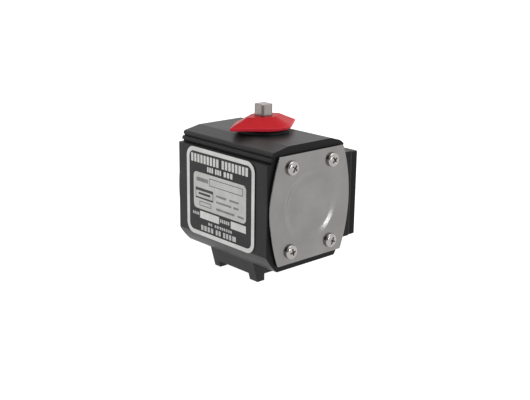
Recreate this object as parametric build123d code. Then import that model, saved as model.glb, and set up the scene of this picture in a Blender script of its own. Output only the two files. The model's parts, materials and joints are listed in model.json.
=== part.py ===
from build123d import *
import math
import os

os.makedirs("parts", exist_ok=True)

# Frame: X runs along the cylinder, Z up the drive shaft, Y across.
# The origin is on the shaft axis, in the valve mounting face.

# Housing
bore_height = 48.5
bore_radius = 25.0
housing_half_length = 43.5
top_height = 40.2
top_half_width = 18.5
lid_half_width = 31.7
lid_edge_height = 37.8
lip_half_width = 33.2
groove_half_width = 31.0
floor_depth = 39.0
name_floor_width = 27.0
port_floor_width = 25.0
name_face = 36.0
name_face_top = 30.7
name_face_bottom = 28.0
port_face = 38.0
port_face_top = 28.9
port_face_bottom = 28.5
port_neck_width = 28.6
wall_gap = 0.05

# Mounting pad under the housing
pad_half_length = 21.4
pad_half_width = 24.3
pad_top_width = 27.0
lug_drop = 4.5
front_lug_length = 7.4
rear_lug_length = 5.4
lug_depth = 6.0
back_lug_length = 22.0
centring_radius = 15.0
centring_depth = 2.0
mount_circle = 42.0
mount_hole_radius = 2.1
mount_hole_depth = 11.0

# End caps, their gaskets and screws
cap_half_height = 35.0
cap_half_width = 28.0
cap_mid_half_width = 34.75
cap_thickness = 1.6
gasket_thickness = 0.5
dish_radius = 23.2
dish_floor_radius = 18.6
dish_depth = 1.8
dish_ring_radius = 24.6
dish_bend_radius = 6.5
screw_y = 17.65
screw_z = 26.8
screw_head_radius = 4.7
screw_head_height = 2.8
screw_radius = 2.35
screw_length = 13.0

# Rack and pinion
module = 1.0
teeth = 18
pressure_angle = math.radians(20)
pitch_radius = module * teeth / 2
flank_clearance = 0.05
pinion_half_height = 11.5
rack_half_height = 9.0
turn_back = math.radians(88)
turn_on = math.radians(2)
pointer_angle = 88.0

# Pistons
piston_radius = 24.85
piston_thickness = 11.0
piston_face_out = 39.6
arm_radius = 22.0
pocket_depth = 4.6
pocket_gap = 0.6
seal_groove_radius = 22.6
wear_groove_radius = 23.9
guide_back = 20.5
guide_half_height = 6.0

# Drive shaft and its bearings
lower_journal_radius = 11.0
lower_bush_radius = 13.0
upper_journal_radius = 7.0
upper_bush_radius = 9.0
square_size = 9.0
square_corner_radius = 5.75
square_start = 43.1
shaft_top = 58.3
shaft_bottom = 46.0
socket_size = 11.0
socket_depth = 16.0
seal_width = 3.0
upper_seal_height = 33.0
lower_seal_height = -36.0

# Indicator and dial ring
pointer_radius = 18.5
pointer_reach = 27.4
indicator_base = 43.2
indicator_rim = 1.8
hub_radius = 8.6
hub_reach = 13.2
hub_top = 50.5
dial_radius = 16.8
dial_hole_radius = 12.2
dial_thickness = 2.4

# Nameplate
name_width = 66.8
name_height = 59.0
name_offset_x = -0.6
name_offset_z = 1.0
name_corner = 7.0
name_thickness = 0.5
name_rim_width = 2.8
name_rim_height = 0.1

# Port plate
port_gasket_thickness = 0.4
port_plate_outer = 44.0
port_plate_half_height = 28.5
port_radius = 4.3
port_spacing = 24.0
port_length = 9.5
passage_radius = 1.5
passage_height = 16.0
passage_x = 41.2
valve_screw_x = 16.0
valve_screw_z = 12.0
plate_screw_x = 36.0
plate_screw_z = 21.0

bore_centre = Location((0, 0, bore_height))
piston_face_rest = piston_face_out - pitch_radius * turn_on
piston_back_in = piston_face_out - pitch_radius * (turn_back + turn_on) - piston_thickness
arm_end_rest = piston_back_in + pocket_depth - pocket_gap - pitch_radius * turn_back


def save(name, *solids):
    """Moves solids drawn about the bore's centre to the row frame and writes them."""
    placed = [bore_centre * solid for solid in solids]
    shape = placed[0] if len(placed) == 1 else Compound(children=placed)
    export_step(shape, f"parts/{name}.step")


def rod_x(radius, x_low, x_high):
    """A cylinder along X between two x values."""
    drawn = Plane.YZ.offset(x_low) * Circle(radius)
    return extrude(drawn, x_high - x_low)


def rod_y(radius, y_low, y_high, x=0.0, z=0.0):
    """A cylinder along Y between two y values."""
    plane = Plane(origin=(x, y_low, z), x_dir=(1, 0, 0), z_dir=(0, 1, 0))
    return extrude(plane * Circle(radius), y_high - y_low)


def rod_z(radius, z_low, z_high, x=0.0, y=0.0):
    """A cylinder along Z between two z values."""
    return extrude(Plane.XY.offset(z_low) * Pos(x, y) * Circle(radius), z_high - z_low)


def ring_x(inner, outer, x_low, x_high):
    return rod_x(outer, x_low, x_high) - rod_x(inner, x_low, x_high)


def ring_z(inner, outer, z_low, z_high):
    return rod_z(outer, z_low, z_high) - rod_z(inner, z_low, z_high)


def block(x_low, x_high, y_low, y_high, z_low, z_high):
    size = (x_high - x_low, y_high - y_low, z_high - z_low)
    centre = ((x_high + x_low) / 2, (y_high + y_low) / 2, (z_high + z_low) / 2)
    return Pos(*centre) * Box(*size)


def corners(x, y):
    return [(i * x, j * y) for i in (-1, 1) for j in (-1, 1)]


def name_side():
    """Half of the extruded section on the nameplate's side, from mid floor to mid top."""
    flank_middle = (name_face - 4.4, -floor_depth + 4.8)
    lid_edge = lid_half_width
    return [
        Line((0, -floor_depth), (name_floor_width, -floor_depth)),
        ThreePointArc((name_floor_width, -floor_depth), flank_middle, (name_face, -name_face_bottom)),
        Polyline(
            (name_face, -name_face_bottom),
            (name_face, name_face_top),
            (groove_half_width + 0.8, name_face_top + 0.2),
            (groove_half_width + 0.8, name_face_top + 1.3),
            (lip_half_width, name_face_top + 1.5),
            (lip_half_width - 0.7, name_face_top + 3.6),
            (groove_half_width, name_face_top + 3.8),
            (groove_half_width, name_face_top + 4.5),
            (lid_edge, name_face_top + 4.7),
            (lid_edge, lid_edge_height - 0.8),
            (lid_edge - 1.0, lid_edge_height),
            (top_half_width, top_height),
            (0, top_height),
        ),
    ]


def port_side():
    """The other half of the section, with a step above and below the port face."""
    lid_edge = lid_half_width - 1.5
    neck = port_neck_width
    return [
        Line((0, -floor_depth), (port_floor_width - 0.8, -floor_depth)),
        Polyline(
            (port_floor_width - 0.8, -floor_depth),
            (port_floor_width, -floor_depth + 0.8),
            (port_floor_width + 5.5, -port_face_bottom),
            (port_face, -port_face_bottom),
            (port_face, port_face_top),
            (neck, port_face_top),
            (neck, lid_edge_height - 4.0),
            (lid_edge - 0.3, lid_edge_height - 3.6),
            (lid_edge, lid_edge_height - 2.5),
            (lid_edge - 2.4, lid_edge_height - 0.6),
            (lid_edge - 4.5, lid_edge_height + 0.4),
            (top_half_width, top_height),
            (0, top_height),
        ),
    ]


def housing_section():
    middle = Line((0, top_height), (0, -floor_depth))
    return make_face(port_side() + [middle]) + mirror(make_face(name_side() + [middle]), Plane.YZ)


def mounting_pad():
    """The pad in the valve flange's plane, drafted on the nameplate's side, and its locating lugs."""
    pad_low = -bore_height
    lug_low = pad_low - lug_drop
    draft = (pad_top_width - pad_half_width) / (bore_height - floor_depth)
    lug_face = pad_half_width - draft * lug_drop
    profile = make_face(
        Polyline(
            (-pad_top_width, -floor_depth),
            (-lug_face, lug_low),
            (pad_half_width, lug_low),
            (pad_half_width, -floor_depth),
            close=True,
        )
    )
    pad = extrude(Plane.YZ * profile, pad_half_length, both=True)
    lug_end = lug_depth - lug_face
    pad -= block(-pad_half_length, pad_half_length, lug_end, pad_half_width - lug_depth, lug_low, pad_low)
    front_lug_start = pad_half_length - front_lug_length
    rear_lug_end = rear_lug_length - pad_half_length
    pad -= block(rear_lug_end, front_lug_start, -pad_half_width, lug_end, lug_low, pad_low)
    half = back_lug_length / 2
    for x_low, x_high in ((-pad_half_length, -half), (half, pad_half_length)):
        pad -= block(x_low, x_high, pad_half_width - lug_depth, pad_half_width, lug_low, pad_low)
    return pad


def air_passages():
    """Drilled ways from the two ports to the middle chamber and to both end chambers."""
    port_x = port_spacing / 2
    thread_end = port_plate_outer - port_length
    cut = rod_y(passage_radius, 0, thread_end, -port_x)
    for x in (-port_x, port_x):
        cut += rod_y(port_radius, thread_end, port_face, x)
    groove_floor = port_face - 2.5
    low, high = passage_height - passage_radius, passage_height + passage_radius
    cut += block(-passage_x, passage_x, groove_floor, port_face, low, high)
    cut += block(port_x - 1.5, port_x + 1.5, groove_floor, port_face, 0, high)
    for x in (-passage_x, passage_x):
        cut += rod_y(passage_radius, 0, port_face, x, passage_height)
    return cut


def body_housing():
    drawn = Plane.YZ * housing_section()
    body = extrude(drawn, housing_half_length, both=True)
    upright = body.edges().filter_by(Axis.Z)
    name_ends = upright.filter_by(lambda e: e.center().Y < 0.1 - name_face)
    housing = chamfer(name_ends, 0.5) + mounting_pad()
    housing -= rod_x(bore_radius, -housing_half_length, housing_half_length)
    housing -= rod_z(upper_bush_radius, 0, top_height)
    housing -= rod_z(lower_bush_radius, -bore_height, 0)
    housing -= rod_z(centring_radius, -bore_height, centring_depth - bore_height)
    across = mount_circle / 2 / math.sqrt(2)
    for x, y in corners(across, across):
        housing -= rod_z(mount_hole_radius, -bore_height, mount_hole_depth - bore_height, x, y)
    deep = housing_half_length - screw_length
    for y, z in corners(screw_y, screw_z):
        for x_low, x_high in ((-housing_half_length, -deep), (deep, housing_half_length)):
            housing -= Pos(0, y, z) * rod_x(screw_radius + wall_gap, x_low, x_high)
    for x, z in corners(plate_screw_x, plate_screw_z):
        housing -= rod_y(2.0, port_face - 9.0, port_face, x, z)
    return housing - air_passages()


def cap_outline(inset):
    """Flat top and bottom with bowed sides, like the end of a barrel."""
    high = cap_half_height - inset
    wide = cap_half_width - inset
    middle = cap_mid_half_width - inset
    edges = [
        Line((-wide, high), (wide, high)),
        ThreePointArc((wide, high), (middle, 0), (wide, -high)),
        Line((wide, -high), (-wide, -high)),
        ThreePointArc((-wide, -high), (-middle, 0), (-wide, high)),
    ]
    face = make_face(edges)
    return fillet(face.vertices(), 1.6)


def pressed_dish(outer_x):
    """The round dish that stiffens the cap, turned about X, with its thickness even."""
    inner_x = outer_x - cap_thickness
    slope = 0.5
    profile = Polyline(
        (outer_x - dish_depth, 0),
        (outer_x - dish_depth, dish_floor_radius),
        (outer_x, dish_radius),
        (outer_x, dish_ring_radius),
        (inner_x, dish_ring_radius),
        (inner_x, dish_radius - slope),
        (inner_x - dish_depth, dish_floor_radius - slope),
        (inner_x - dish_depth, 0),
        close=True,
    )
    turned = revolve(Plane.XY * make_face(profile), Axis.X)
    bends = turned.edges().filter_by(GeomType.CIRCLE)
    bends = bends.filter_by(lambda e: abs(e.radius - dish_ring_radius) > 0.1)
    return fillet(bends, dish_bend_radius)


def end_cap():
    inner_x = housing_half_length + gasket_thickness
    outer_x = inner_x + cap_thickness
    cap = extrude(Plane.YZ.offset(inner_x) * cap_outline(0), cap_thickness)
    cap -= rod_x(dish_ring_radius, inner_x, outer_x)
    for y, z in corners(screw_y, screw_z):
        cap -= Pos(0, y, z) * rod_x(screw_radius + 0.25, inner_x, outer_x)
    rim = cap.edges().group_by(Axis.X)[-1]
    rim = rim.filter_by(lambda e: e.length > 20 and abs(e.radius - dish_ring_radius) > 1
                        if e.geom_type == GeomType.CIRCLE else e.length > 20)
    return chamfer(rim, 0.3) + pressed_dish(outer_x)


def end_cap_gasket():
    start = Plane.YZ.offset(housing_half_length)
    gasket = extrude(start * cap_outline(0.4), gasket_thickness)
    low, high = housing_half_length, housing_half_length + gasket_thickness
    gasket -= rod_x(bore_radius, low, high)
    for y, z in corners(screw_y, screw_z):
        gasket -= Pos(0, y, z) * rod_x(screw_radius + 0.25, low, high)
    return gasket


def pan_head_screw():
    """One screw along +X, with its head resting at x = 0."""
    crown = 0.9
    edge = Polyline(
        (-screw_length + 0.6, 0),
        (-screw_length + 0.6, screw_radius - 0.5),
        (-screw_length + 1.4, screw_radius),
        (0, screw_radius),
        (0, screw_head_radius),
        (crown, screw_head_radius),
    )
    shoulder = (screw_head_height - 0.35, screw_head_radius * 0.7)
    dome = Spline(
        (crown, screw_head_radius), shoulder, (screw_head_height, 0), tangents=[(1, 0), (0, -1)]
    )
    closing = Line((screw_head_height, 0), (-screw_length + 0.6, 0))
    screw = revolve(Plane.XY * make_face([edge, dome, closing]), Axis.X)
    mouth = Plane.YZ.offset(screw_head_height)
    floor = Plane.YZ.offset(screw_head_height - 1.9)
    slot = loft([floor * Rectangle(2.4, 0.9), mouth * Rectangle(5.2, 1.2)])
    return screw - slot - Rot(90, 0, 0) * slot


def end_cap_screws():
    seat = housing_half_length + gasket_thickness + cap_thickness
    turns = (12, 55, -20, 38)
    placed = []
    for (y, z), turn in zip(corners(screw_y, screw_z), turns):
        placed.append(Pos(seat, y, z) * Rot(turn, 0, 0) * pan_head_screw())
    return placed


def pinion_section():
    """Involute teeth with their middles at multiples of a tooth pitch from +X."""
    base_radius = pitch_radius * math.cos(pressure_angle)
    tip_radius = pitch_radius + module
    root_radius = pitch_radius - 1.25 * module
    involute = math.tan(pressure_angle) - pressure_angle
    half_tooth = math.pi / (2 * teeth) - flank_clearance / pitch_radius

    def flank_point(radius, side, middle):
        roll = math.acos(min(1.0, base_radius / radius))
        angle = middle + side * (half_tooth + involute - (math.tan(roll) - roll))
        return (radius * math.cos(angle), radius * math.sin(angle))

    def root_point(side, middle):
        angle = middle + side * (half_tooth + involute)
        return (root_radius * math.cos(angle), root_radius * math.sin(angle))

    steps = 4
    radii = [base_radius + (tip_radius - base_radius) * i / steps for i in range(steps + 1)]
    edges = []
    for number in range(teeth):
        middle = 2 * math.pi * number / teeth
        following = middle + 2 * math.pi / teeth
        rising = [flank_point(radius, -1, middle) for radius in radii]
        falling = [flank_point(radius, 1, middle) for radius in reversed(radii)]
        tip = (tip_radius * math.cos(middle), tip_radius * math.sin(middle))
        between = (middle + following) / 2
        valley = (root_radius * math.cos(between), root_radius * math.sin(between))
        edges.append(Line(root_point(-1, middle), rising[0]))
        edges.append(Spline(*rising))
        edges.append(ThreePointArc(rising[-1], tip, falling[0]))
        edges.append(Spline(*falling))
        edges.append(Line(falling[-1], root_point(1, middle)))
        edges.append(ThreePointArc(root_point(1, middle), valley, root_point(-1, following)))
    return make_face(edges)


def shaft_square(size, low, high, corner):
    square = extrude(Plane.XY.offset(low) * Rectangle(size, size), high - low)
    square &= rod_z(corner, low, high)
    return Rot(0, 0, pointer_angle) * square


def drive_shaft():
    collar = pitch_radius - 1.4 * module
    shaft = rod_z(lower_journal_radius, -shaft_bottom, -bore_radius - 1.2)
    shaft += rod_z(collar, -bore_radius - 1.2, -pinion_half_height)
    pinion = Plane.XY.offset(-pinion_half_height) * pinion_section()
    shaft += extrude(pinion, 2 * pinion_half_height)
    shaft += rod_z(collar, pinion_half_height, bore_radius + 0.8)
    shaft += rod_z(upper_journal_radius, bore_radius + 0.8, square_start)
    square = shaft_square(square_size, square_start, shaft_top, square_corner_radius)
    shaft += chamfer(square.edges().group_by(Axis.Z)[-1], 0.5)
    shaft -= extrude(
        Plane.XY.offset(-shaft_bottom) * Rot(0, 0, pointer_angle) * Rectangle(socket_size, socket_size),
        socket_depth,
    )
    low = upper_seal_height - seal_width / 2
    shaft -= ring_z(5.4, upper_journal_radius + 1, low, low + seal_width)
    low = lower_seal_height - seal_width / 2
    shaft -= ring_z(9.4, lower_journal_radius + 1, low, low + seal_width)
    groove_low = top_height + 1.9
    return shaft - ring_z(6.2, upper_journal_radius + 1, groove_low, groove_low + 1.0)


def soft_ring_z(inner, outer, middle):
    low = middle - seal_width / 2 + 0.05
    ring = ring_z(inner, outer, low, low + seal_width - 0.1)
    return fillet(ring.edges(), 0.6)


def upper_bush():
    bush = ring_z(upper_journal_radius + wall_gap, upper_bush_radius, bore_radius + 1.0, top_height)
    return bush + ring_z(upper_journal_radius + wall_gap, 11.5, top_height, top_height + 1.0)


def lower_bush():
    return ring_z(
        lower_journal_radius + wall_gap,
        lower_bush_radius,
        centring_depth + 0.4 - bore_height,
        -bore_radius - 1.4,
    )


def thrust_washer():
    return ring_z(upper_journal_radius + 0.1, 10.6, top_height + 1.0, top_height + 1.8)


def snap_ring():
    low = top_height + 1.95
    ring = ring_z(6.25, 9.2, low, low + 0.9)
    ring -= block(4, 12, -1.6, 1.6, low, low + 0.9)
    for y in (-2.9, 2.9):
        ring += ring_z(0.7, 1.5, low, low + 0.9).moved(Location((9.0, y, 0)))
        ring -= rod_z(0.7, low, low + 0.9, 9.0, y)
    return Rot(0, 0, 200) * ring


def dial_ring():
    ring = ring_z(dial_hole_radius, dial_radius, top_height, top_height + dial_thickness)
    return chamfer(ring.edges().group_by(Axis.Z)[-1], 0.5)


def pointer_outline(radius, reach):
    """A circle drawn out to a blunt tip at each end by straight sides that touch it."""
    turn = math.acos(radius / reach)
    x, y = radius * math.cos(turn), radius * math.sin(turn)
    blunt = 0.6
    sides = [
        Line((reach, blunt), (x, y)),
        ThreePointArc((x, y), (0, radius), (-x, y)),
        Line((-x, y), (-reach, blunt)),
        Line((-reach, blunt), (-reach, -blunt)),
        Line((-reach, -blunt), (-x, -y)),
        ThreePointArc((-x, -y), (0, -radius), (x, -y)),
        Line((x, -y), (reach, -blunt)),
        Line((reach, -blunt), (reach, blunt)),
    ]
    return make_face(sides)


def position_indicator():
    rim_top = indicator_base + indicator_rim
    outline = Plane.XY.offset(indicator_base) * pointer_outline(pointer_radius, pointer_reach)
    rim = extrude(outline, indicator_rim)
    rim = chamfer(rim.edges().group_by(Axis.Z)[0], 0.3)
    lower = Plane.XY.offset(rim_top) * pointer_outline(pointer_radius - 0.5, pointer_reach - 0.5)
    upper = Plane.XY.offset(hub_top) * pointer_outline(hub_radius, hub_reach)
    pointer = Rot(0, 0, pointer_angle) * (rim + loft([lower, upper], ruled=True))
    return pointer - shaft_square(square_size + 0.1, indicator_base, hub_top, square_corner_radius + 0.05)


def rack_tooth(x):
    """One tooth of the rack on the -Y side, its tip towards the pinion."""
    slope = math.tan(pressure_angle)
    half = math.pi * module / 4 - flank_clearance
    root_y, tip_y = -pitch_radius - 1.25 * module, -pitch_radius + module
    wide, narrow = half + 1.25 * module * slope, half - module * slope
    outline = Polyline(
        (x - wide, root_y - 0.5),
        (x - wide, root_y),
        (x - narrow, tip_y),
        (x + narrow, tip_y),
        (x + wide, root_y),
        (x + wide, root_y - 0.5),
        close=True,
    )
    drawn = Plane.XY.offset(-rack_half_height) * make_face(outline)
    return extrude(drawn, 2 * rack_half_height)


def piston():
    """The +X piston at rest, with its rack arm on the -Y side of the pinion."""
    outer_x = piston_face_rest
    inner_x = outer_x - piston_thickness
    high = rack_half_height
    disc = rod_x(piston_radius, inner_x, outer_x)
    disc = chamfer(disc.edges().filter_by(GeomType.CIRCLE), 0.5)
    disc -= ring_x(seal_groove_radius, piston_radius + 1, outer_x - 4.8, outer_x - 1.6)
    disc -= ring_x(wear_groove_radius, piston_radius + 1, outer_x - 9.8, outer_x - 5.8)
    pocket = rod_x(arm_radius + pocket_gap, inner_x, inner_x + pocket_depth)
    pocket &= block(
        inner_x,
        outer_x,
        pitch_radius - module - pocket_gap,
        bore_radius,
        -high - pocket_gap,
        high + pocket_gap,
    )
    disc -= pocket
    root_y = -pitch_radius - 1.25 * module
    arm = rod_x(arm_radius, -arm_end_rest, inner_x)
    arm &= block(-arm_end_rest, inner_x, -bore_radius, root_y, -high, high)
    arm -= guide_seat()
    pitch = math.pi * module
    first = math.ceil((-arm_end_rest + pitch / 2) / pitch)
    last = math.floor((inner_x - pitch / 2) / pitch)
    for number in range(first, last + 1):
        arm += rack_tooth(number * pitch)
    return disc + arm


def guide_seat():
    low, high = 3.0, 17.0
    return block(low, high, -bore_radius, -guide_back, -guide_half_height, guide_half_height)


def rack_guide():
    pad = guide_seat() & rod_x(bore_radius - 0.07, 3.0, 17.0)
    return pad


def piston_seal():
    outer_x = piston_face_rest
    ring = ring_x(seal_groove_radius, bore_radius - 0.04, outer_x - 4.7, outer_x - 1.7)
    return fillet(ring.edges(), 0.9)


def piston_wear_ring():
    outer_x = piston_face_rest
    ring = ring_x(wear_groove_radius, bore_radius - 0.07, outer_x - 9.7, outer_x - 5.9)
    slit = block(outer_x - 10, outer_x - 5, -0.4, 0.4, 20, 26)
    return ring - slit


def nameplate():
    plane = Plane(origin=(name_offset_x, -name_face, name_offset_z), x_dir=(1, 0, 0), z_dir=(0, -1, 0))
    outline = RectangleRounded(name_width, name_height, name_corner)
    inner_corner = name_corner - name_rim_width
    inner = RectangleRounded(
        name_width - 2 * name_rim_width, name_height - 2 * name_rim_width, inner_corner
    )
    base = extrude(plane * outline, name_thickness)
    return base + extrude(plane.offset(name_thickness) * (outline - inner), name_rim_height)


def plate_blank(y_low, y_high):
    plane = Plane(origin=(0, y_low, 0), x_dir=(1, 0, 0), z_dir=(0, 1, 0))
    outline = RectangleRounded(2 * housing_half_length, 2 * port_plate_half_height, 1.0)
    blank = extrude(plane * outline, y_high - y_low)
    for x in (-port_spacing / 2, port_spacing / 2):
        blank -= rod_y(port_radius, y_low, y_high, x)
    for x, z in corners(plate_screw_x, plate_screw_z):
        blank -= rod_y(2.2, y_low, y_high, x, z)
    return blank


def port_plate():
    inner_y = port_face + port_gasket_thickness
    plate = plate_blank(inner_y, port_plate_outer)
    for x, z in corners(valve_screw_x, valve_screw_z):
        plate -= rod_y(2.1, inner_y, port_plate_outer, x, z)
    for x, z in corners(plate_screw_x, plate_screw_z):
        plate -= rod_y(3.8, port_plate_outer - 4.0, port_plate_outer, x, z)
    outside = plate.faces().sort_by(Axis.Y)[-1]
    return chamfer(outside.outer_wire().edges(), 0.6)


def port_plate_gasket():
    return plate_blank(port_face, port_face + port_gasket_thickness)


def cap_screw():
    """A socket head screw along +Y, with its head resting at y = 0."""
    screw = rod_y(1.95, -9.5, 0) + rod_y(3.5, 0, 3.8)
    plane = Plane(origin=(0, 3.8, 0), x_dir=(1, 0, 0), z_dir=(0, 1, 0))
    socket = extrude(plane * RegularPolygon(1.7, 6), -2.0)
    return screw - socket


def port_plate_screws():
    seat = port_plate_outer - 4.0
    return [Pos(x, seat, z) * cap_screw() for x, z in corners(plate_screw_x, plate_screw_z)]


def save_pair(name, *solids):
    """Writes the +X piece and its twin, turned half a turn about the shaft."""
    save(f"{name}_front", *solids)
    save(f"{name}_rear", *[Rot(0, 0, 180) * solid for solid in solids])


save("body_housing", body_housing())
save_pair("end_cap", end_cap())
save_pair("end_cap_gasket", end_cap_gasket())
save_pair("end_cap_screws", *end_cap_screws())
save_pair("piston", piston())
save_pair("piston_seal", piston_seal())
save_pair("piston_wear_ring", piston_wear_ring())
save_pair("rack_guide", rack_guide())
save("drive_shaft", drive_shaft())
save("upper_bush", upper_bush())
save("lower_bush", lower_bush())
save("upper_shaft_seal", soft_ring_z(5.4, upper_journal_radius + 0.02, upper_seal_height))
save("lower_shaft_seal", soft_ring_z(9.4, lower_journal_radius + 0.02, lower_seal_height))
save("thrust_washer", thrust_washer())
save("snap_ring", snap_ring())
save("dial_ring", dial_ring())
save("position_indicator", position_indicator())
save("nameplate", nameplate())
save("port_plate", port_plate())
save("port_plate_gasket", port_plate_gasket())
save("port_plate_screws", *port_plate_screws())
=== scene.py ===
import json
import math

import bmesh
import bpy
from mathutils import Matrix, Quaternion, Vector


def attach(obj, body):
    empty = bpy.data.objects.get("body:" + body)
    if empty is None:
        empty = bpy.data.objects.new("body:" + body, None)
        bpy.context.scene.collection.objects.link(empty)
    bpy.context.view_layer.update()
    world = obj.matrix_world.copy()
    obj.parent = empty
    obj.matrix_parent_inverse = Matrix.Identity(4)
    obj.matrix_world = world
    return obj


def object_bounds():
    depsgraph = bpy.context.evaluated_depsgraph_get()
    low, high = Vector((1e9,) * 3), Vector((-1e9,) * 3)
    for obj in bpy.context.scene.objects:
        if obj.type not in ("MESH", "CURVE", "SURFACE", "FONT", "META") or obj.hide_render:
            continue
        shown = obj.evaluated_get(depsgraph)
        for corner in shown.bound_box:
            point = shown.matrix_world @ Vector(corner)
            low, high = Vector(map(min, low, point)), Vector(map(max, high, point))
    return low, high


MM = 0.001

# Places on the part, in its own frame
label_face = 36.5 * MM
housing_end = 43.4 * MM
square_low = 91.6 * MM
square_land_radius = 5.45 * MM
pointer_rim_top = 93.6 * MM
bore_height = 48.5 * MM

# The camera: millimetres of lens and sensor, metres of place, degrees of heading
camera_lens = 62.0
camera_sensor = 36.0
camera_eye = (0.4300, -0.3940, 0.2111)
camera_azimuth = 47.33
camera_elevation = 16.19
camera_roll = 0.751

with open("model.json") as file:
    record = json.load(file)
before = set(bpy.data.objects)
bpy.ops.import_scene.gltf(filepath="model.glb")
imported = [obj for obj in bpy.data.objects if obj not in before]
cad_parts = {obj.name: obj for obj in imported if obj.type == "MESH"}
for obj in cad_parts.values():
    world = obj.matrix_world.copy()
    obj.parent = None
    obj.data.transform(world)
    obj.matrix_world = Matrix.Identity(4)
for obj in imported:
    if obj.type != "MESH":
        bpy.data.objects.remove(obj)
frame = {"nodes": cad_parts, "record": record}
cad_low, cad_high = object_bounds()
nodes = frame["nodes"]
scene = bpy.context.scene


# Materials

class Shader:
    """One procedural material: a Principled surface and the nodes that feed it."""

    def __init__(self, name, colour, roughness, metallic=0.0):
        self.material = bpy.data.materials.new(name)
        self.material.use_nodes = True
        self.tree = self.material.node_tree
        self.surface = self.tree.nodes["Principled BSDF"]
        self.set("Base Color", (*colour, 1))
        self.set("Roughness", roughness)
        self.set("Metallic", metallic)
        self.material.diffuse_color = (*colour, 1)
        self.coordinates = self.tree.nodes.new("ShaderNodeTexCoord").outputs["Object"]

    def set(self, socket, value):
        self.surface.inputs[socket].default_value = value

    def link(self, output, socket):
        self.tree.links.new(output, self.surface.inputs[socket])

    def node(self, kind, inputs=(), **settings):
        made = self.tree.nodes.new(kind)
        for key, value in settings.items():
            setattr(made, key, value)
        for key, value in dict(inputs).items():
            if isinstance(value, bpy.types.NodeSocket):
                self.tree.links.new(value, made.inputs[key])
            else:
                made.inputs[key].default_value = value
        return made

    def stretched(self, scale):
        """Object coordinates in millimetres, stretched along an axis where its scale is small."""
        return self.node("ShaderNodeMapping", {"Vector": self.coordinates, "Scale": scale}).outputs["Vector"]

    def noise(self, scale, detail=4.0, rough=0.55, spread=(1, 1, 1)):
        """Noise whose grains are about 1 / scale millimetres across."""
        vector = self.stretched([1000 * s for s in spread])
        inputs = {"Vector": vector, "Scale": scale, "Detail": detail, "Roughness": rough}
        return self.node("ShaderNodeTexNoise", inputs).outputs["Fac"]

    def ramp(self, factor, low, high, start=0.0, end=1.0):
        """Maps factor from low..high to start..end."""
        inputs = {"Value": factor, "From Min": low, "From Max": high, "To Min": start, "To Max": end}
        return self.node("ShaderNodeMapRange", inputs, clamp=True).outputs["Result"]

    def mix(self, factor, first, second):
        made = self.node("ShaderNodeMix", {"Factor": factor}, data_type="RGBA")
        for key, value in ((6, first), (7, second)):
            if isinstance(value, bpy.types.NodeSocket):
                self.tree.links.new(value, made.inputs[key])
            else:
                made.inputs[key].default_value = (*value, 1)
        return made.outputs[2]

    def bump(self, height, strength, distance, normal=None):
        inputs = {"Height": height, "Strength": strength, "Distance": distance}
        if normal is not None:
            inputs["Normal"] = normal
        return self.node("ShaderNodeBump", inputs).outputs["Normal"]

    def rounded_edges(self, radius):
        return self.node("ShaderNodeBevel", {"Radius": radius}, samples=6).outputs["Normal"]


def anodised_black(name, shine):
    """Black anodised extrusion: faint die lines along X, a fine blasted grain, and painted shade on the end
    faces, which are darker and less shiny.
    """
    s = Shader(name, (0.012, 0.012, 0.0125), 0.4)
    cloud = s.noise(0.06, 3)
    grain = s.noise(4.0, 3)
    drawn = s.noise(1.6, 4, 0.6, (0.02, 1, 1))
    along = s.node("ShaderNodeSeparateXYZ", {"Vector": s.coordinates}).outputs["X"]
    from_middle = s.node("ShaderNodeMath", {0: along}, operation="ABSOLUTE").outputs["Value"]
    # Painted shade: past the housing end the faces get a darker colour and less shine.
    end_painted_shade = s.ramp(from_middle, housing_end - 0.1 * MM, housing_end + 0.05 * MM)
    black = s.mix(s.ramp(cloud, 0.35, 0.7), (0.0085, 0.0085, 0.009), (0.015, 0.015, 0.0155))
    s.link(s.mix(end_painted_shade, black, (0.006, 0.006, 0.0065)), "Base Color")
    s.link(s.ramp(end_painted_shade, 0.0, 1.0, shine, 0.5 * shine), "Specular IOR Level")
    s.link(s.ramp(drawn, 0.3, 0.7, 0.34, 0.46), "Roughness")
    fine = s.bump(grain, 0.25, 0.00004, s.rounded_edges(0.0004))
    s.link(s.bump(drawn, 0.2, 0.00005, fine), "Normal")
    return s.material


def stainless():
    """Rolled stainless sheet, brushed along Z."""
    s = Shader("stainless", (0.21, 0.206, 0.2), 0.24, 1.0)
    brushed = s.noise(3.0, 5, 0.6, (1, 1, 0.03))
    cloud = s.noise(0.05, 3)
    tone = s.mix(s.ramp(cloud, 0.35, 0.7), (0.195, 0.191, 0.187), (0.226, 0.221, 0.214))
    s.link(tone, "Base Color")
    s.link(s.ramp(brushed, 0.3, 0.7, 0.17, 0.27), "Roughness")
    s.link(s.bump(brushed, 0.1, 0.00003, s.rounded_edges(0.0003)), "Normal")
    return s.material


def zinc():
    """Bright zinc plated steel."""
    s = Shader("zinc", (0.34, 0.325, 0.31), 0.15, 1.0)
    grain = s.noise(2.5, 3)
    s.link(s.mix(s.ramp(grain, 0.35, 0.7), (0.27, 0.26, 0.25), (0.4, 0.385, 0.37)), "Base Color")
    s.link(s.ramp(grain, 0.3, 0.7, 0.1, 0.2), "Roughness")
    s.link(s.rounded_edges(0.0002), "Normal")
    return s.material


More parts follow.
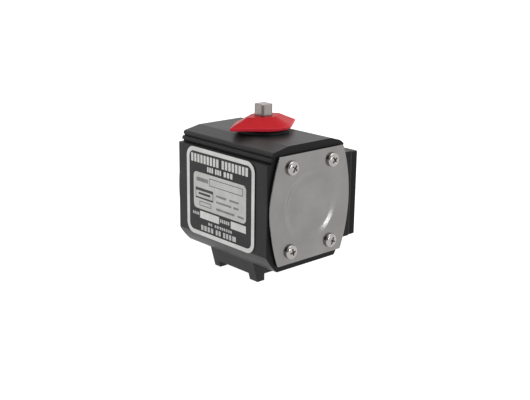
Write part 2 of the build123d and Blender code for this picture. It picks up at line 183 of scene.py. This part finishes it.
def turned_steel():
    """Ground shaft steel with fine turning marks round Z, and darker turned corners on the top square."""
    s = Shader("turned_steel", (0.26, 0.235, 0.225), 0.3, 1.0)
    marks = s.noise(3.0, 4, 0.6, (0.05, 0.05, 1))
    place = s.node("ShaderNodeSeparateXYZ", {"Vector": s.coordinates})
    across = {"X": place.outputs["X"], "Y": place.outputs["Y"]}
    flat = s.node("ShaderNodeCombineXYZ", across).outputs["Vector"]
    radius = s.node("ShaderNodeVectorMath", {0: flat}, operation="LENGTH").outputs["Value"]
    on_square = s.ramp(place.outputs["Z"], square_low - 0.1 * MM, square_low + 0.1 * MM)
    turned = s.ramp(radius, square_land_radius - 0.15 * MM, square_land_radius + 0.15 * MM)
    corner = s.node("ShaderNodeMath", {0: turned, 1: on_square}, operation="MULTIPLY")
    steel = s.mix(s.ramp(marks, 0.3, 0.7), (0.235, 0.211, 0.203), (0.285, 0.258, 0.248))
    s.link(s.mix(corner.outputs["Value"], steel, (0.13, 0.118, 0.113)), "Base Color")
    s.link(s.ramp(marks, 0.3, 0.7, 0.22, 0.36), "Roughness")
    s.link(s.bump(marks, 0.15, 0.00003, s.rounded_edges(0.0003)), "Normal")
    return s.material


def spring_steel():
    """Phosphated spring steel, dark and uneven."""
    s = Shader("spring_steel", (0.16, 0.155, 0.15), 0.35, 1.0)
    grain = s.noise(3.0, 3)
    s.link(s.mix(s.ramp(grain, 0.3, 0.7), (0.13, 0.125, 0.12), (0.2, 0.19, 0.18)), "Base Color")
    s.link(s.ramp(grain, 0.3, 0.7, 0.28, 0.45), "Roughness")
    return s.material


def cast_aluminium():
    """Die-cast aluminium with a slightly open grain."""
    s = Shader("cast_aluminium", (0.6, 0.6, 0.59), 0.45, 1.0)
    grain = s.noise(2.0, 4)
    s.link(s.mix(s.ramp(grain, 0.3, 0.7), (0.52, 0.52, 0.51), (0.66, 0.66, 0.65)), "Base Color")
    s.link(s.ramp(grain, 0.3, 0.7, 0.38, 0.55), "Roughness")
    s.link(s.bump(grain, 0.3, 0.00005), "Normal")
    return s.material


def moulded(name, colour, other, roughness, radius=0.0003, shine=0.4):
    """Moulded plastic or rubber with a faint skin texture."""
    s = Shader(name, colour, roughness)
    s.set("Specular IOR Level", shine)
    cloud = s.noise(0.12, 3)
    skin = s.noise(5.0, 2)
    s.link(s.mix(s.ramp(cloud, 0.35, 0.7), colour, other), "Base Color")
    s.link(s.ramp(skin, 0.3, 0.7, roughness - 0.05, roughness + 0.06), "Roughness")
    s.link(s.bump(skin, 0.15, 0.00003, s.rounded_edges(radius)), "Normal")
    return s.material


def red_pointer():
    """Moulded red plastic with a painted highlight: a paler red round its rim."""
    s = Shader("red_plastic", (0.42, 0.003, 0.006), 0.36)
    s.set("Specular IOR Level", 0.06)
    height = s.node("ShaderNodeSeparateXYZ", {"Vector": s.coordinates}).outputs["Z"]
    cloud = s.noise(0.12, 3)
    skin = s.noise(5.0, 2)
    red = s.mix(s.ramp(cloud, 0.35, 0.7), (0.31, 0.002, 0.0055), (0.36, 0.003, 0.008))
    # Painted highlight: below the rim top the red is paler, standing in for light caught on the rim.
    rim = s.ramp(height, pointer_rim_top - 0.3 * MM, pointer_rim_top + 0.3 * MM, 1.0, 0.0)
    s.link(s.mix(rim, red, (0.47, 0.018, 0.032)), "Base Color")
    s.link(s.ramp(skin, 0.3, 0.7, 0.31, 0.42), "Roughness")
    s.link(s.bump(skin, 0.15, 0.00003, s.rounded_edges(0.0005)), "Normal")
    return s.material


def label_foil():
    """Foil label: bare silver on the raised rim, satin black print on the ground inside it."""
    s = Shader("label_foil", (0.013, 0.013, 0.0135), 0.35)
    s.set("Specular IOR Level", 0.2)
    depth = s.node("ShaderNodeSeparateXYZ", {"Vector": s.coordinates}).outputs["Y"]
    rim = s.ramp(depth, -label_face - 0.06 * MM, -label_face - 0.03 * MM, 1.0, 0.0)
    cloud = s.noise(0.08, 3)
    grain = s.noise(3.0, 3)
    ground = s.mix(s.ramp(cloud, 0.35, 0.7), (0.01, 0.01, 0.0105), (0.016, 0.016, 0.0165))
    silver = s.mix(s.ramp(cloud, 0.35, 0.7), (0.42, 0.42, 0.415), (0.5, 0.5, 0.49))
    s.link(s.mix(rim, ground, silver), "Base Color")
    s.link(s.ramp(rim, 0.0, 1.0, 0.0, 0.75), "Metallic")
    s.link(s.ramp(grain, 0.3, 0.7, 0.3, 0.42), "Roughness")
    s.link(s.bump(grain, 0.1, 0.00002), "Normal")
    return s.material


def foil_ink(name, dark, light, metallic):
    """One tone of the print on the label, slightly uneven as screen print is."""
    s = Shader(name, light, 0.38, metallic)
    s.set("Specular IOR Level", 0.3)
    cloud = s.noise(0.15, 4)
    grain = s.noise(4.0, 3)
    s.link(s.mix(s.ramp(cloud, 0.3, 0.7), dark, light), "Base Color")
    s.link(s.ramp(grain, 0.3, 0.7, 0.32, 0.46), "Roughness")
    s.link(s.bump(grain, 0.12, 0.00002), "Normal")
    return s.material


looks = {
    "black_anodised": anodised_black("anodised_black", 0.2),
    "stainless_sheet": stainless(),
    "zinc_screw": zinc(),
    "black_rubber": moulded("black_rubber", (0.012, 0.012, 0.012), (0.02, 0.02, 0.02), 0.65),
    "cast_piston": cast_aluminium(),
    "guide_plastic": moulded("guide_plastic", (0.45, 0.42, 0.33), (0.55, 0.52, 0.42), 0.45),
    "shaft_steel": turned_steel(),
    "spring_steel": spring_steel(),
    "black_plastic": moulded(
        "black_plastic", (0.004, 0.004, 0.0042), (0.007, 0.007, 0.0072), 0.5, shine=0.2
    ),
    "red_plastic": red_pointer(),
    "plate_print": label_foil(),
}

for part in frame["record"]["subparts"]:
    slots = nodes[part["node"]].data.materials
    slots.clear()
    slots.append(looks[part["material_slot"]])
nodes["port_plate"].data.materials[0] = anodised_black("anodised_port_plate", 0.12)


# Print on the label: generic bars and panels

def rounded(low_x, high_x, low_z, high_z, radius):
    """The corners of a rectangle in millimetres, each turned into a short arc."""
    radius = min(radius, 0.49 * (high_x - low_x), 0.49 * (high_z - low_z))
    centres = (
        (high_x - radius, high_z - radius, 0),
        (low_x + radius, high_z - radius, 90),
        (low_x + radius, low_z + radius, 180),
        (high_x - radius, low_z + radius, 270),
    )
    steps = 6 if radius > 1 else 3
    points = []
    for x, z, start in centres:
        for step in range(steps + 1):
            angle = math.radians(start + 90 * step / steps)
            points.append((x + radius * math.cos(angle), z + radius * math.sin(angle)))
    return points


def print_layer(name, ink, height, shapes):
    """Thin raised patches on the label, each given as (low x, high x, low z, high z, corner radius)."""
    build = bmesh.new()
    bottom, top = -label_face, -label_face - height * MM
    for shape in shapes:
        outline = rounded(*shape)
        under = [build.verts.new((x * MM, bottom, z * MM + bore_height)) for x, z in outline]
        over = [build.verts.new((x * MM, top, z * MM + bore_height)) for x, z in outline]
        build.faces.new(over)
        count = len(outline)
        for i in range(count):
            following = (i + 1) % count
            build.faces.new((under[i], under[following], over[following], over[i]))
    bmesh.ops.recalc_face_normals(build, faces=build.faces)
    mesh = bpy.data.meshes.new(name)
    build.to_mesh(mesh)
    build.free()
    mesh.materials.append(ink)
    made = bpy.data.objects.new(name, mesh)
    scene.collection.objects.link(made)
    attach(made, "housing")


def words(low_z, high_z, *spans):
    """Bars side by side in one row, given by where each begins and ends."""
    return [(low_x, high_x, low_z, high_z, 0.3) for low_x, high_x in spans]


def even_bars(low_z, high_z, low_x, high_x, count, share=0.7):
    """Narrow upright bars, evenly spaced from low_x to high_x."""
    pitch = (high_x - low_x) / (count - 1 + share)
    spans = [(low_x + i * pitch, low_x + (i + share) * pitch) for i in range(count)]
    return words(low_z, high_z, *spans)


silver_ink = foil_ink("silver_ink", (0.42, 0.42, 0.41), (0.5, 0.5, 0.49), 0.5)
dim_ink = foil_ink("dim_ink", (0.32, 0.32, 0.32), (0.42, 0.42, 0.41), 0.4)
panel_ink = foil_ink("panel_ink", (0.34, 0.34, 0.33), (0.42, 0.42, 0.405), 0.5)
grey_ink = foil_ink("grey_ink", (0.12, 0.12, 0.12), (0.18, 0.18, 0.175), 0.2)
dark_ink = foil_ink("dark_ink", (0.015, 0.015, 0.016), (0.025, 0.025, 0.026), 0.0)

print_layer("label_title", silver_ink, 0.04, (
    even_bars(20.6, 26.1, -29.4, -1.6, 9)
    + even_bars(20.6, 26.1, 1.5, 26.5, 8)
    + even_bars(15.9, 19.3, -13.0, -7.0, 3)
    + even_bars(15.9, 19.3, -5.0, 1.0, 3)
    + even_bars(15.9, 19.3, 3.5, 12.0, 3)
    + words(-16.5, -11.6, (-20.5, -1.0), (10.5, 25.0))
))
print_layer("label_small_print", dim_ink, 0.04, (
    even_bars(-15.0, -13.0, -28.0, -21.5, 4)
    + even_bars(-15.0, -12.6, 0.0, 9.0, 5)
    + even_bars(-19.8, -18.0, -12.0, -8.0, 2)
    + even_bars(-19.8, -18.0, -5.5, -1.5, 2)
    + even_bars(-19.8, -18.0, -0.5, 11.5, 6)
    + even_bars(-24.5, -21.1, -19.5, -7.0, 4)
    + even_bars(-24.5, -21.1, -4.5, 0.5, 2)
    + even_bars(-24.5, -21.1, 3.0, 11.0, 3)
    + even_bars(-24.5, -21.1, 12.0, 15.5, 1, 1.0)
))
print_layer("label_panel", panel_ink, 0.03, [(-27.0, 25.0, -10.3, 14.3, 3.0)])
print_layer("label_panel_marks", grey_ink, 0.05, (
    words(8.2, 10.8, (-24.0, -12.0))
    + words(1.0, 2.4, (-4.0, 6.0), (9.0, 18.0))
    + words(-3.0, -1.6, (-4.0, 11.0), (13.0, 18.0))
    + words(-7.7, -6.3, (-4.0, 14.0), (17.0, 23.0))
))
print_layer("label_panel_frames", dark_ink, 0.05, (
    words(11.6, 12.0, (-11.0, 22.0))
    + words(7.0, 7.4, (-11.0, 22.0))
    + words(7.0, 12.0, (-11.0, -10.6), (21.6, 22.0))
    + words(2.0, 3.9, (-25.0, -7.0))
    + words(-3.4, -2.3, (-25.0, -7.0))
    + words(-3.0, 3.0, (-25.0, -24.5), (-7.5, -7.0))
    + words(-0.6, 0.9, (-22.0, -10.0))
    + words(-5.4, -5.0, (-21.0, -9.0))
    + words(-8.0, -7.6, (-21.0, -9.0))
    + words(-8.0, -5.0, (-21.0, -20.6), (-9.4, -9.0))
))


# Camera

def aim(eye, azimuth, elevation, roll):
    """Looks from eye at a heading of azimuth degrees round Z, elevation degrees down."""
    a, e, r = (math.radians(v) for v in (azimuth, elevation, roll))
    ahead = Vector((-math.sin(a) * math.cos(e), math.cos(a) * math.cos(e), -math.sin(e)))
    level = Vector((math.cos(a), math.sin(a), 0))
    upward = level.cross(ahead)
    right = math.cos(r) * level + math.sin(r) * upward
    up = math.cos(r) * upward - math.sin(r) * level
    matrix = Matrix((right, up, -ahead)).transposed().to_4x4()
    matrix.translation = eye
    return matrix


camera_data = bpy.data.cameras.new("camera")
camera_data.lens = camera_lens
camera_data.sensor_width = camera_sensor
camera = bpy.data.objects.new("camera", camera_data)
camera.matrix_world = aim(Vector(camera_eye), camera_azimuth, camera_elevation, camera_roll)
scene.collection.objects.link(camera)
scene.camera = camera


# Floor and light

def plain_white():
    """Backdrop paper that stays white under the part."""
    s = Shader("plain_white", (0.2, 0.2, 0.2), 0.9)
    s.set("Specular IOR Level", 0.1)
    s.set("Emission Color", (1, 1, 1, 1))
    s.set("Emission Strength", 1.02)
    return s.material


def floor(level, half):
    mesh = bpy.data.meshes.new("floor")
    points = [(-half, -half, level), (half, -half, level), (half, half, level), (-half, half, level)]
    mesh.from_pydata(points, [], [(0, 1, 2, 3)])
    made = bpy.data.objects.new("floor", mesh)
    made.data.materials.append(plain_white())
    scene.collection.objects.link(made)


def softbox(name, position, target, width, height, power, roll=0.0):
    data = bpy.data.lights.new(name, "AREA")
    data.shape = "RECTANGLE"
    data.size = width
    data.size_y = height
    data.energy = power
    lamp = bpy.data.objects.new(name, data)
    lamp.location = position
    facing = (Vector(target) - Vector(position)).to_track_quat("-Z", "Y")
    lamp.rotation_euler = (facing @ Quaternion((0, 0, 1), math.radians(roll))).to_euler()
    scene.collection.objects.link(lamp)


floor(cad_low.z, 8.0)
softbox("overhead", (0.1, 0.1, 1.3), (0, 0, 0.05), 1.2, 1.2, 9)
softbox("front_strip", (1.27, 0.178, 0.206), (0.045, 0.012, 0.035), 0.42, 0.05, 2.2, 39)


def studio_walls():
    """Pale walls, brightest beyond the front end cap and darkest where the camera stands."""
    world = bpy.data.worlds.new("studio")
    world.use_nodes = True
    tree = world.node_tree
    heading = tree.nodes.new("ShaderNodeTexCoord").outputs["Generated"]

    def along(direction, low, high, start, end):
        toward = tree.nodes.new("ShaderNodeVectorMath")
        toward.operation = "DOT_PRODUCT"
        toward.inputs[1].default_value = direction
        tree.links.new(heading, toward.inputs[0])
        level = tree.nodes.new("ShaderNodeMapRange")
        for key, value in (("From Min", low), ("From Max", high), ("To Min", start), ("To Max", end)):
            level.inputs[key].default_value = value
        tree.links.new(toward.outputs["Value"], level.inputs["Value"])
        return level.outputs["Result"]

    strength = tree.nodes.new("ShaderNodeMath")
    strength.operation = "MULTIPLY"
    tree.links.new(along((1, 0, 0), -0.3, 0.6, 1.1, 1.35), strength.inputs[0])
    tree.links.new(along((0.711, -0.651, 0.264), 0.62, 0.96, 1.0, 0.12), strength.inputs[1])
    background = tree.nodes["Background"]
    background.inputs["Color"].default_value = (1, 1, 1, 1)
    tree.links.new(strength.outputs["Value"], background.inputs["Strength"])
    return world


scene.world = studio_walls()
scene.view_settings.view_transform = "Standard"
